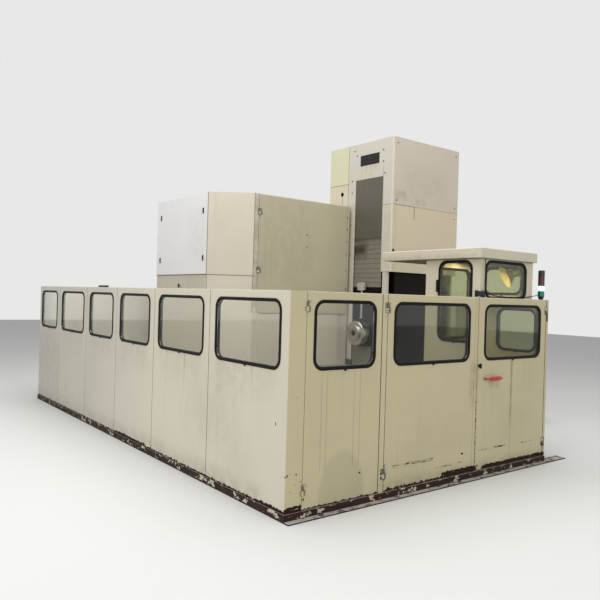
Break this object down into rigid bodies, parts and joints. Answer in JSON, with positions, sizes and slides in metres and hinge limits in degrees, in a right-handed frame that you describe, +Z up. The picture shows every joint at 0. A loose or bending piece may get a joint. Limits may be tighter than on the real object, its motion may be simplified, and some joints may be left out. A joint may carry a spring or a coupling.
{
  "type": "floor-type boring mill",
  "caption": "Floor-type boring mill: travelling column with ram headstock, rotary table, tool magazine cabinet, operator's booth and a windowed guard with doors.",
  "frame": {"origin": "on the floor at the guard's near outer corner, where the left wall meets the front wall", "axes": "+X along the front wall with the doors, +Y along the left wall and the column's travel, +Z up"},
  "size_m": [5.626, 6.756, 4.25],
  "materials": {
    "cream_paint": "worn yellowed cream enamel",
    "white_paint": "worn off-white enamel",
    "machine_paint": "aged light cream enamel",
    "cast_iron": "painted and oiled casting",
    "ground_steel": "ground and oiled",
    "cover_sheet": "dull oily sheet",
    "seal_rubber": "matt",
    "clear_pane": "clear, dusty",
    "sill_paint": "flaking dark primer",
    "red_plastic": "gloss",
    "black_plastic": "matt",
    "lamp_paint": "yellow enamel, gold inside",
    "signal_dark": "gloss",
    "signal_lit": "gloss"
  },
  "bodies": {
    "machine_frame": {"floor_sill": "sill_paint", "front_posts": "cream_paint", "left_panel_1": "white_paint", "left_panel_2": "white_paint", "left_panel_3": "white_paint", "left_panel_4": "white_paint", "left_panel_5": "white_paint", "left_panel_6": "white_paint", "wall_seals": "seal_rubber", "wall_panes": "clear_pane", "far_wall": "white_paint", "return_wall": "white_paint", "door_switch": "black_plastic", "booth_frame": "machine_paint", "booth_roof": "machine_paint", "control_console": "machine_paint", "tower_modules": "signal_dark", "tower_lit_module": "signal_lit", "tower_cable": "seal_rubber", "bed": "cast_iron", "bed_rails": "ground_steel", "fixed_way_covers": "cover_sheet", "magazine_cabinet": "machine_paint", "magazine_side_panel": "white_paint", "magazine_lower_panel": "machine_paint", "disc_stand": "cast_iron", "table_bed": "cast_iron"},
    "first_door": {"door_1": "cream_paint", "door_1_seal": "seal_rubber", "door_1_pane": "clear_pane"},
    "second_door": {"door_2": "cream_paint", "door_2_seal": "seal_rubber", "door_2_pane": "clear_pane"},
    "third_door": {"door_3": "cream_paint", "door_3_seal": "seal_rubber", "door_3_pane": "clear_pane", "door_handle": "red_plastic"},
    "latch": {"door_latch": "black_plastic"},
    "stop": {"stop_button": "red_plastic"},
    "cabin_lamp": {"lamp_head": "lamp_paint"},
    "column_group": {"saddle": "cast_iron", "column": "cast_iron", "column_cover": "machine_paint", "name_plate": "black_plastic", "front_plate": "ground_steel", "apron_fixed": "cover_sheet", "saddle_way_covers": "cover_sheet"},
    "sliding_covers": {"sliding_way_covers": "cover_sheet"},
    "headstock_group": {"headstock": "cast_iron", "slat_curtain": "cover_sheet", "apron_top": "cover_sheet", "work_lamp": "machine_paint"},
    "upper_apron": {"apron_upper": "cover_sheet"},
    "lower_apron": {"apron_lower": "cover_sheet"},
    "ram_body": {"ram": "ground_steel"},
    "spindle_body": {"spindle": "ground_steel"},
    "table_slide_body": {"table_saddle": "cast_iron"},
    "table_body": {"rotary_table": "ground_steel"},
    "cabinet_door": {"magazine_door": "machine_paint"},
    "disc_body": {"tool_disc": "ground_steel"}
  },
  "joints": [
    {"name": "door_1_hinge", "type": "hinge", "parent": "machine_frame", "child": "first_door", "pos_m": [0.1675, -0.009, 0.2], "axis": [0, 0, -1], "range_deg": [0, 95]},
    {"name": "door_2_hinge", "type": "hinge", "parent": "machine_frame", "child": "second_door", "pos_m": [1.0665, -0.009, 0.2], "axis": [0, 0, -1], "range_deg": [0, 95]},
    {"name": "door_3_hinge", "type": "hinge", "parent": "machine_frame", "child": "third_door", "pos_m": [3.5475, -0.009, 0.2], "axis": [0, 0, 1], "range_deg": [0, 95]},
    {"name": "latch_turn", "type": "hinge", "parent": "third_door", "child": "latch", "pos_m": [2.372, 0, 1.117], "axis": [0, -1, 0], "range_deg": [0, 90]},
    {"name": "stop_press", "type": "slide", "parent": "machine_frame", "child": "stop", "axis": [-0.8944, 0, -0.4472], "range_m": [0, 0.006]},
    {"name": "lamp_tilt", "type": "hinge", "parent": "machine_frame", "child": "cabin_lamp", "pos_m": [3.252, 0.128, 2.03], "axis": [1, 0, 0], "range_deg": [-45, 12]},
    {"name": "column_travel", "type": "slide", "parent": "machine_frame", "child": "column_group", "axis": [0, 1, 0], "range_m": [-0.9, 0.1]},
    {"name": "cover_travel", "type": "slide", "parent": "machine_frame", "child": "sliding_covers", "axis": [0, 1, 0], "range_m": [-0.45, 0.05]},
    {"name": "headstock_travel", "type": "slide", "parent": "column_group", "child": "headstock_group", "axis": [0, 0, 1], "range_m": [-0.1, 1.2]},
    {"name": "upper_apron_travel", "type": "slide", "parent": "column_group", "child": "upper_apron", "axis": [0, 0, 1], "range_m": [-0.06667, 0.8]},
    {"name": "lower_apron_travel", "type": "slide", "parent": "column_group", "child": "lower_apron", "axis": [0, 0, 1], "range_m": [-0.03333, 0.4]},
    {"name": "ram_travel", "type": "slide", "parent": "headstock_group", "child": "ram_body", "axis": [-1, 0, 0], "range_m": [0, 0.7]},
    {"name": "spindle_turn", "type": "hinge", "parent": "ram_body", "child": "spindle_body", "pos_m": [3.85, 3.449, 1.212], "axis": [1, 0, 0], "continuous": true},
    {"name": "table_travel", "type": "slide", "parent": "machine_frame", "child": "table_slide_body", "axis": [1, 0, 0], "range_m": [-1.2, 0.1]},
    {"name": "table_turn", "type": "hinge", "parent": "table_slide_body", "child": "table_body", "pos_m": [2.54, 2.43, 0.6], "axis": [0, 0, 1], "continuous": true},
    {"name": "cabinet_door_hinge", "type": "hinge", "parent": "machine_frame", "child": "cabinet_door", "pos_m": [2.268, 3.821, 2.1], "axis": [0, 0, -1], "range_deg": [0, 95]},
    {"name": "disc_turn", "type": "hinge", "parent": "machine_frame", "child": "disc_body", "pos_m": [3.525, 4.92, 2.3], "axis": [1, 0, 0], "continuous": true}
  ],
  "couplings": [
    {"joint": "cover_travel", "follows": "column_travel", "ratio": 0.5},
    {"joint": "upper_apron_travel", "follows": "headstock_travel", "ratio": 0.66667},
    {"joint": "lower_apron_travel", "follows": "headstock_travel", "ratio": 0.33333}
  ]
}
